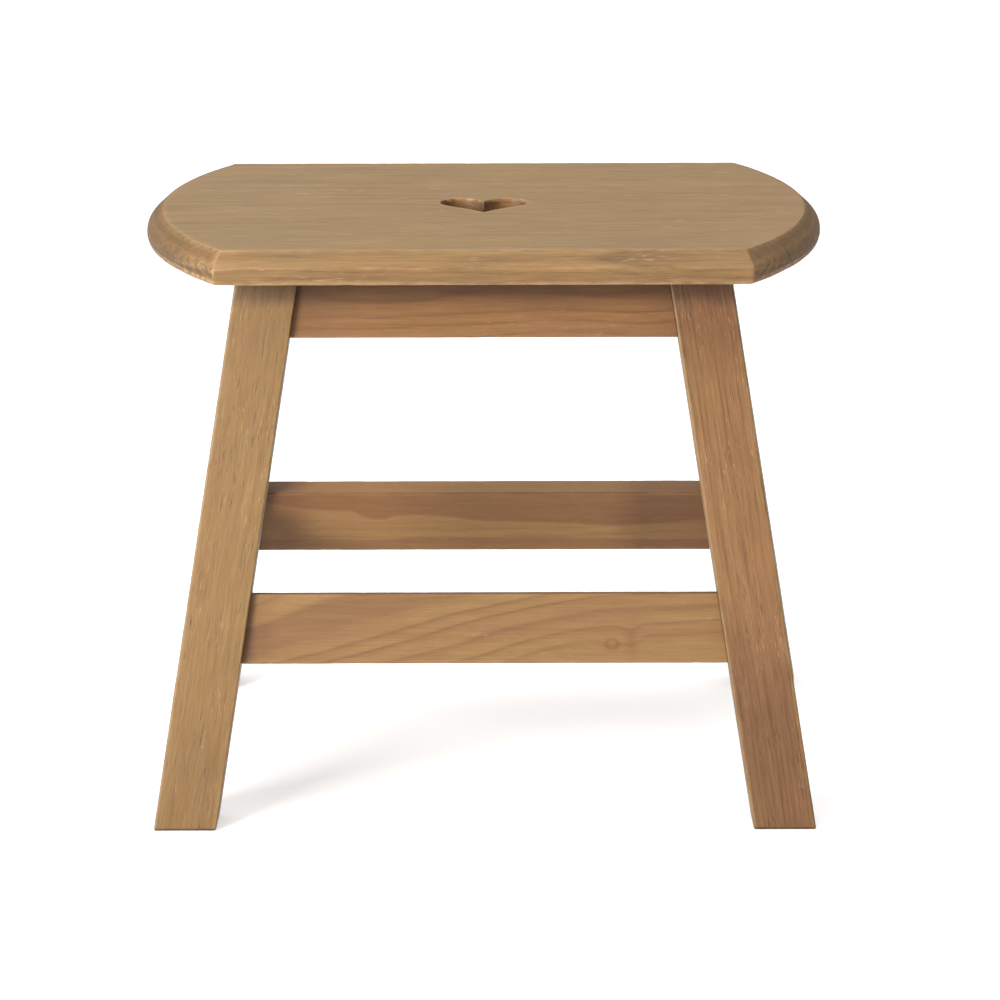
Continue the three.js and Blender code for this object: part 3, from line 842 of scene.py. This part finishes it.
        # faces turned to the floor are painted darker: painted shade on the underside
        underside_shade_mask = N.span(sepn.outputs[2], -0.30, -0.75, 0.0, 1.0, smooth=True)
        base = N.mix(underside_shade_mask, base, N.mix(1.0, base, underside_painted_shade, "MULTIPLY"))
    if upright_painted_shade is not None:
        # the upright faces are painted darker than the chamfer above them: painted shade
        upright = N.span(N.math("ABSOLUTE", sepn.outputs[2]), 0.62, 0.22, 0.0, 1.0, smooth=True)
        base = N.mix(upright, base, N.mix(1.0, base, upright_painted_shade, "MULTIPLY"))
    if painted_shade_by_height is not None:
        # painted shade by height, such as darker towards the floor, a contact shadow at the feet and shadow under the
        # seat: (z from, z to, colour factor) in mm
        sepo = t.nodes.new("ShaderNodeSeparateXYZ")
        N.put(sepo.inputs[0], coord.outputs["Object"])
        for z_a, z_b, tint in painted_shade_by_height:
            jitter = min(0.10, abs(z_b - z_a) * MM * 1.2)
            far = N.math("ADD", sepo.outputs[2], N.math("MULTIPLY", N.math("SUBTRACT", mott, 0.5), jitter))
            far = N.span(far, z_a * MM, z_b * MM, 0.0, 1.0, smooth=True)
            base = N.mix(far, base, N.mix(1.0, base, tint, "MULTIPLY"))

    # end grain drinks more stain, and its late rings stay paler
    ax = Vector(along).normalized()
    facing = N.math("ABSOLUTE", N.vec("DOT_PRODUCT", coord.outputs["Normal"], tuple(ax)))
    endg = N.span(facing, 0.30, 0.92, 0.0, 1.0)
    soak = end_tint if end_tint is not None else tuple(x * f for x, f in zip(late[:3], (0.62, 0.55, 0.48))) + (1.0,)
    pore = N.noise(turned((0.9, 0.62, 0.62), (3.0, 9.0, 1.0)), detail=2.0, rough=0.6)
    shown = end_rings
    if end_rings_and_painted_light is not None:     # rings show best towards one corner of the end: (grain y from, to, least)
        shown = N.math("MULTIPLY", N.span(gy, end_rings_and_painted_light[0], end_rings_and_painted_light[1], end_rings_and_painted_light[2], 1.0), end_rings)
    end_c = N.mix(N.math("MULTIPLY", late_f, shown), soak, tuple(min(1.0, x * 1.45) for x in early[:3]) + (1.0,))
    pshade = N.math("ADD", 1.0, N.math("MULTIPLY", N.math("SUBTRACT", pore, 0.5), 0.30))
    pshade = N.math("ADD", pshade, N.math("MULTIPLY", N.math("SUBTRACT", mott, 0.5), 0.5))
    comb2 = t.nodes.new("ShaderNodeCombineColor")
    for i in range(3):
        N.put(comb2.inputs[i], pshade)
    end_c = N.mix(1.0, end_c, comb2.outputs[0], "MULTIPLY")
    # painted light and shade on the end grain: lighter towards the middle of the end, darker towards one corner
    if end_rings_and_painted_light is not None:     # and that corner is the darker one
        end_painted_light = N.span(gy, -20.0, -88.0, end_rings_and_painted_light[3], end_rings_and_painted_light[4], smooth=True)
        end_light_rgb = t.nodes.new("ShaderNodeCombineColor")
        for i in range(3):
            N.put(end_light_rgb.inputs[i], end_painted_light)
        end_c = N.mix(1.0, end_c, end_light_rgb.outputs[0], "MULTIPLY")
    base = N.mix(N.math("MULTIPLY", endg, end_dark), base, end_c)

    # rubbed edges
    att = t.nodes.new("ShaderNodeAttribute")
    att.attribute_type = "GEOMETRY"
    att.attribute_name = "wear"
    rub_noise = N.noise(turned((12.0, 2.4, 2.4), (8.0, 1.0, 3.0)), detail=3.0, rough=0.65)
    edge = N.math("MULTIPLY", att.outputs["Fac"], N.span(rub_noise, 0.38, 0.60, 0.18, 1.0))
    worn_c = worn if worn is not None else tuple(min(1.0, x * 1.42 + 0.03) for x in early[:3]) + (1.0,)
    base = N.mix(N.math("MULTIPLY", edge, rub), base, worn_c)

    # the heart's cut wall is painted a little darker and redder: painted shade in the hollow
    if hole_wall_painted_shade is not None:
        cut_face = t.nodes.new("ShaderNodeAttribute")
        cut_face.attribute_type = "GEOMETRY"
        cut_face.attribute_name = "inner"
        base = N.mix(cut_face.outputs["Fac"], base, N.mix(1.0, base, hole_wall_painted_shade, "MULTIPLY"))

    N.put(N.bsdf.inputs["Base Color"], base)
    rg = N.math("ADD", rough, N.math("MULTIPLY", N.math("SUBTRACT", f_mid, 0.5), 0.22))
    rg = N.math("ADD", rg, N.math("MULTIPLY", ring_face, -0.05))
    rg = N.math("ADD", rg, N.math("MULTIPLY", endg, 0.22))
    rg = N.math("ADD", rg, N.math("MULTIPLY", N.math("SUBTRACT", mott, 0.5), 0.16), clamp=True)
    N.put(N.bsdf.inputs["Roughness"], rg)
    N.bsdf.inputs["IOR"].default_value = 1.46
    N.bsdf.inputs["Specular IOR Level"].default_value = 0.45

    h = N.math("MULTIPLY", ring_face, 0.8)
    h = N.math("ADD", h, N.math("MULTIPLY", f_fine, 1.0))
    h = N.math("ADD", h, N.math("MULTIPLY", f_mid, 1.0))
    h = N.math("SUBTRACT", h, N.math("MULTIPLY", dark_dash, 0.9))
    h = N.math("SUBTRACT", h, N.math("MULTIPLY", N.math("MULTIPLY", endg, pore), 0.8))
    bp = t.nodes.new("ShaderNodeBump")
    bp.inputs["Strength"].default_value = 0.5 * bump
    bp.inputs["Distance"].default_value = 0.00010
    N.put(bp.inputs["Height"], h)
    t.links.new(bp.outputs[0], N.bsdf.inputs["Normal"])
    return N.mat


def zinc(name, seed):
    N = Nodes(name)
    coord = N.t.nodes.new("ShaderNodeTexCoord")
    G = N.vec("SCALE", coord.outputs["Object"], scale=1000.0)
    S = N.vec("ADD", G, (seed * 11.0, seed * 5.0, seed * 3.0))
    cloud = N.noise(S, scale=0.55, detail=4.0, rough=0.6)
    spots = N.noise(S, scale=2.4, detail=2.0)
    col = N.ramp(cloud, [(0.25, srgb(150, 128, 78)), (0.5, srgb(196, 172, 104)), (0.75, srgb(208, 190, 140))])
    col = N.mix(N.span(spots, 0.62, 0.75, 0.0, 0.6), col, srgb(112, 92, 60))
    N.put(N.bsdf.inputs["Base Color"], col)
    N.bsdf.inputs["Metallic"].default_value = 1.0
    N.put(N.bsdf.inputs["Roughness"], N.span(cloud, 0.2, 0.8, 0.26, 0.46))
    bp = N.t.nodes.new("ShaderNodeBump")
    bp.inputs["Strength"].default_value = 0.3
    bp.inputs["Distance"].default_value = 0.00005
    N.put(bp.inputs["Height"], spots)
    N.t.links.new(bp.outputs[0], N.bsdf.inputs["Normal"])
    return N.mat


# ---------------------------------------------------------------- build
def mounted(obj, node, mat):
    obj.data.materials.clear()
    obj.data.materials.append(mat)
    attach(obj, "root")
    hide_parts(node)
    return obj


V = Vector
down, up3 = V((0, 0, -1)), V((0, 0, 1))

# seat board: fibres along X; the log's heart ran just above and in front of the board, so the end
# shows its rings at the front corners and the broad face shows close lengthwise lines
obj, node = seat(1.0)
mounted(obj, node, wood(
    "seat_pine", (1, 0.010, 0), (0, 0, 1), (0, 0, HEIGHT - 8), (-105.0, 13.0), 1.0,
    rgb(SEAT, 1.0), rgb(SEAT_LATE, 1.0), ring=4.3, contrast=0.85, wander=2.6, calm=0.50, streak=0.30, breakup=0.6, width=1.5,
    fleck=0.75, fleck_at=0.03, dash=0.30, tone=0.09, red=rgb(SEAT_WARM, 1.0), blush=0.35, rough=0.50,
    # painted sheen on the seat's top, painted light and shade on its end grain, painted shade along the board's lower
    # edge
    top_painted_sheen=SEAT_TOP_PAINTED_SHEEN, end_dark=0.85, end_rings=0.95, end_rings_and_painted_light=(-52.0, -84.0, 0.12, 1.16, 0.66), painted_shade_by_height=((283.5, 278.0, (0.88, 0.86, 0.84, 1.0)),), end_tint=rgb(SEAT_END, 1.0), rub=0.68, speck=0.6,
    # painted shade on the upright edge faces and on the heart's cut wall
    tone_and_painted_shade_zones=((-30.0, -125.0, (0.98, 1.02, 1.08, 1.0)),), upright_painted_shade=(0.90, 0.88, 0.83, 1.0), hole_wall_painted_shade=(0.98, 0.88, 0.84, 1.0)))

# each leg is painted darker towards the floor, with a near-black painted contact shadow at the foot; the front legs
# also carry painted shadow under the seat near their tops
leg_specs = {
    (-1, -1): (LEG_L, LEG_L_LATE, (9.0, 60.0), dict(ring=2.9, contrast=0.32, streak=0.20, breakup=0.80, dash=0.80, dash_at=0.05, fleck=0.65, fleck_at=0.02, blush=0.22, tone=0.08,
                                                    painted_shade_by_height=((95.0, 30.0, (0.90, 0.87, 0.85, 1.0)), (1.7, 0.8, (0.22, 0.18, 0.17, 1.0)), (251.5, 259.5, (0.55, 0.53, 0.62, 1.0))))),
    (1, -1): (LEG_R, LEG_R_LATE, (-70.0, 30.0), dict(ring=3.2, contrast=0.85, streak=0.26, breakup=0.75, dash=0.75, dash_at=0.05, fleck=0.90, fleck_at=0.035, blush=0.40, tone=0.12,
                                                     painted_shade_by_height=((130.0, 60.0, (0.72, 0.67, 0.67, 1.0)), (1.7, 0.8, (0.22, 0.18, 0.17, 1.0)), (212.0, 245.0, (0.80, 0.74, 0.70, 1.0)), (252.5, 260.0, (0.60, 0.58, 0.68, 1.0))))),
    (-1, 1): (LEG_L, LEG_L_LATE, (30.0, 44.0), dict(ring=3.3, contrast=0.5, streak=0.24, painted_shade_by_height=((90.0, 20.0, (0.88, 0.84, 0.82, 1.0)), (1.7, 0.8, (0.22, 0.18, 0.17, 1.0))))),
    (1, 1): (LEG_R, LEG_R_LATE, (-34.0, 52.0), dict(ring=3.0, contrast=0.6, streak=0.22, painted_shade_by_height=((100.0, 30.0, (0.86, 0.82, 0.80, 1.0)), (1.7, 0.8, (0.22, 0.18, 0.17, 1.0))))),
}
leg_dings = {
    (-1, -1): ((V((-129.6, -66.0, 252.5)), 4.0, 0.8, V((0.75, 0.6, 0))),),
    (1, -1): ((V((131.8, -112.0, 62.0)), 3.5, 0.5, V((0.2, 0.9, 0))),),
}
for side in (-1, 1):
    for front in (-1, 1):
        o, s, n, a = leg_frame(side, front)
        early, late, pith, extra = leg_specs[(side, front)]
        seed = {(-1, -1): 2.0, (1, -1): 3.0, (-1, 1): 4.0, (1, 1): 5.0}[(side, front)]
        obj, node = leg(side, front, seed, leg_dings.get((side, front), ()))
        mid = o + a * 140 - s * 15 - n * 12
        mounted(obj, node, wood(
            node + "_pine", a, n, mid, pith, seed, rgb(early, 1.0), rgb(late, 1.0),
            red=rgb(LEG_RED, 1.0), wander=2.2, rub=0.42, speck=0.35, worn=rgb((141, 117, 74), 1.0), **extra))

# aprons and stretchers
chip = ((V((3.0, -FOOT_Y + (APRON_Z * tb) + SETBACK * cb, APRON_Z - SETBACK * sb)), 5.5, 0.9, up3),)
heartwood = ([(-112, 10.8), (-103, 9.2), (-87, 6.8), (-71, 6.1), (-62.7, 2.4), (-54.8, 1.2), (-46.3, 3.3), (-33.7, 3.5), (-16.9, 2.3),
              (-2.7, 0.4), (14.7, -0.3), (45.2, -1.6), (62.6, -2.6), (85, -1.8), (112, 0.2)],
             rgb(REAR_RED, 1.0), 0.72, -10.0, rgb(REAR_LOW, 1.0), 0.50)
# painted shade on the aprons and stretchers beside the legs, and painted shadow under the seat along the top of the
# front apron
specs = [
    ("apron", -1, 6.0, APRON, APRON_LATE, (14.0, 34.0), dict(ring=6.0, contrast=0.75, slope=(0.02, 0.0), wander=4.0, streak=0.16, blush=0.4, tone=0.12, fleck=0.45,
                                                                  tone_and_painted_shade_zones=((-60.0, -95.0, (0.84, 0.82, 0.76, 1.0)), (-98.0, -106.0, (0.74, 0.70, 0.76, 1.0)), (60.0, 96.0, (0.86, 0.83, 0.82, 1.0))), painted_shade_by_height=((248.5, 256.5, (0.76, 0.73, 0.72, 1.0)), (254.5, 260.5, (0.72, 0.72, 0.86, 1.0))))),
    ("apron", 1, 7.0, APRON, APRON_LATE, (30.0, -44.0), dict(ring=4.0, contrast=0.5)),
    ("stretcher", -1, 8.0, FRONT, FRONT_LATE, (-44.0, 26.0), dict(
        ring=9.0, contrast=0.95, slope=(0.19, -0.00055), wander=3.8, streak=0.14, breakup=0.25, blush=0.30, tone=0.06, fleck=0.40, dash=0.30,
        knots=((63.6, -7.9, 4.0, 2.3, 1.25, 0.95, 0.12, 1.0), (73.3, -6.6, 4.0, 2.7, 1.0, 1.9, 1.0, 0.0)),
        tone_and_painted_shade_zones=((-98.0, -112.0, (0.88, 0.84, 0.80, 1.0)), (-112.0, -117.5, (0.72, 0.68, 0.80, 1.0))))),
    ("stretcher", 1, 9.0, REAR, REAR_LATE, (40.0, 30.0), dict(ring=5.5, contrast=0.35, streak=0.14, breakup=0.4, blush=0.2, tone=0.05, patch=heartwood,
                               tone_and_painted_shade_zones=((60.0, 84.0, (0.68, 0.64, 0.67, 1.0)), (-84.0, -104.0, (0.76, 0.70, 0.74, 1.0))))),
]
for kind, front, seed, early, late, pith, extra in specs:
    obj, node = rail_long(kind, front, seed, dings=chip if (kind, front) == ("apron", -1) else ())
    lo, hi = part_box(node)
    q = front * FOOT_Y
    h_mid = (APRON_Z + 17.0) / cb if kind == "apron" else STRETCHER_Z["front" if front < 0 else "rear"] / cb + RAIL_W / 2
    mid = V((0, q, 0)) + V((0, -front * sb, cb)) * h_mid + V((0, -front * cb, -sb)) * (SETBACK + RAIL_T / 2)
    # the show face of the front rails faces forwards; the rear stretcher shows its inner face
    toward = (0, -cb, sb) if front < 0 else (0, -cb, -sb)
    mounted(obj, node, wood(
        node + "_pine", (1, 0, 0), toward, mid, pith, seed, rgb(early, 1.0), rgb(late, 1.0), red=rgb(RAIL_RED, 1.0), rub=0.22,
        # rail faces that look up get a painted sheen, faces that look down get painted shade
        top_painted_sheen=(1.28, 1.36, 1.42, 1.0) if front < 0 else (1.55, 1.68, 1.55, 1.0), underside_painted_shade=(0.50, 0.46, 0.48, 1.0), **extra))
for kind, side, seed, pith in (("apron", -1, 10.0, (22, 40)), ("apron", 1, 11.0, (-18, 44)), ("stretcher", -1, 12.0, (12, 36)), ("stretcher", 1, 13.0, (-20, -40))):
    obj, node = rail_side(kind, side, seed)
    lo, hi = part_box(node)
    mid = (lo + hi) * 500.0
    mounted(obj, node, wood(
        node + "_pine", (0, 1, 0.02), (side * cg, 0, sg), mid, pith, seed, rgb(FRONT, 1.0), rgb(FRONT_LATE, 1.0),
        ring=4.8, contrast=0.55, wander=4.0, streak=0.11, red=rgb(RAIL_RED, 1.0)))

for front, seed in ((-1, 14.0), (1, 15.0)):
    obj, node = cleat(front, seed)
    lo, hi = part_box(node)
    mounted(obj, node, wood(
        node + "_pine", (1, 0, 0), (0, 0, 1), (lo + hi) * 500.0, (10.0 * front, 34.0), seed, rgb(CLEAT, 1.0), rgb(CLEAT_LATE, 1.0),
        ring=3.6, contrast=0.6, wander=3.0, streak=0.12, fleck=0.2, dash=0.3, tone=0.08, rough=0.64, end_dark=0.5))

metal = zinc("yellow_zinc", 1.0)
for end, sgn in (("front", -1), ("rear", 1)):
    for i, x in enumerate((-64, 0, 64)):
        nm = f"seat_screw_{end}_{i + 1}"
        mounted(screw(nm, (x, sgn * 35.0, LEG_TOP - CLEAT_H + 0.5), V((0, 0, 1))), nm, metal)
    for i, x in enumerate((-36, 36)):
        nm = f"cleat_screw_{end}_{i + 1}"
        mounted(screw(nm, (x, sgn * (CLEAT_Y + 0.5), 263.0), V((0, sgn, 0))), nm, metal)

# ---------------------------------------------------------------- stage, light, camera
bpy.ops.mesh.primitive_plane_add(size=1.0, location=(0, 0, 0))
floor = bpy.context.object
floor.name = "studio_floor"
floor.data.transform(Matrix.Diagonal((10.0, 10.0, 1.0, 1.0)))
F = Nodes("studio_white")
F.bsdf.inputs["Base Color"].default_value = (0.76, 0.76, 0.76, 1.0)
F.bsdf.inputs["Emission Color"].default_value = (1.0, 1.0, 1.0, 1.0)
F.bsdf.inputs["Emission Strength"].default_value = 0.42
F.bsdf.inputs["Roughness"].default_value = 0.8
F.bsdf.inputs["Specular IOR Level"].default_value = 0.2
floor.data.materials.append(F.mat)

scene = bpy.context.scene
scene.view_settings.view_transform = "Standard"
# a soft white studio: bright overhead, dimmer towards the walls
world = bpy.data.worlds.new("studio")
scene.world = world
world.use_nodes = True
W = world.node_tree
sky = W.nodes["Background"]
wc = W.nodes.new("ShaderNodeTexCoord")
ws = W.nodes.new("ShaderNodeSeparateXYZ")
wr = W.nodes.new("ShaderNodeValToRGB")
W.links.new(wc.outputs["Generated"], ws.inputs[0])
W.links.new(ws.outputs[2], wr.inputs[0])
wr.color_ramp.elements.new(0.35)
wr.color_ramp.elements.new(0.70)
for e, (p, c) in zip(wr.color_ramp.elements, ((0.0, 0.07), (0.35, 0.16), (0.70, 0.60), (1.0, 1.0))):
    e.position = p
    e.color = (c, c, c, 1.0)
W.links.new(wr.outputs[0], sky.inputs[0])
sky.inputs[1].default_value = 1.86


def area(name, at, target, size, power, colour=(1, 1, 1)):
    data = bpy.data.lights.new(name, "AREA")
    data.shape = "RECTANGLE"
    data.size, data.size_y = size
    data.energy = power
    data.color = colour
    ob = bpy.data.objects.new(name, data)
    scene.collection.objects.link(ob)
    ob.location = at
    ob.rotation_euler = (Vector(target) - Vector(at)).to_track_quat("-Z", "Y").to_euler()
    return ob


area("key", (-1.66, -1.72, 0.90), (0, 0, 0.15), (1.05, 0.62), 86.0)

CX, D, HC, PITCH, YAW, ROLL, FPX = 8.0, 3124.0, 1053.3, math.radians(16.388), math.radians(-0.002), math.radians(-0.142), 6360.4
fwd = Vector((math.sin(YAW) * math.cos(PITCH), math.cos(YAW) * math.cos(PITCH), -math.sin(PITCH)))
right = Vector((math.cos(YAW), -math.sin(YAW), 0.0))
upv = right.cross(fwd)
r2 = right * math.cos(ROLL) + upv * math.sin(ROLL)
u2 = -right * math.sin(ROLL) + upv * math.cos(ROLL)
cam_data = bpy.data.cameras.new("camera")
cam_data.sensor_width = 36.0
cam_data.lens = FPX / 1000.0 * 36.0
cam_data.clip_end = 100.0
cam = bpy.data.objects.new("camera", cam_data)
scene.collection.objects.link(cam)
cam.matrix_world = Matrix((
    (r2.x, u2.x, -fwd.x, CX * MM),
    (r2.y, u2.y, -fwd.y, -D * MM),
    (r2.z, u2.z, -fwd.z, HC * MM),
    (0, 0, 0, 1)))
scene.camera = cam
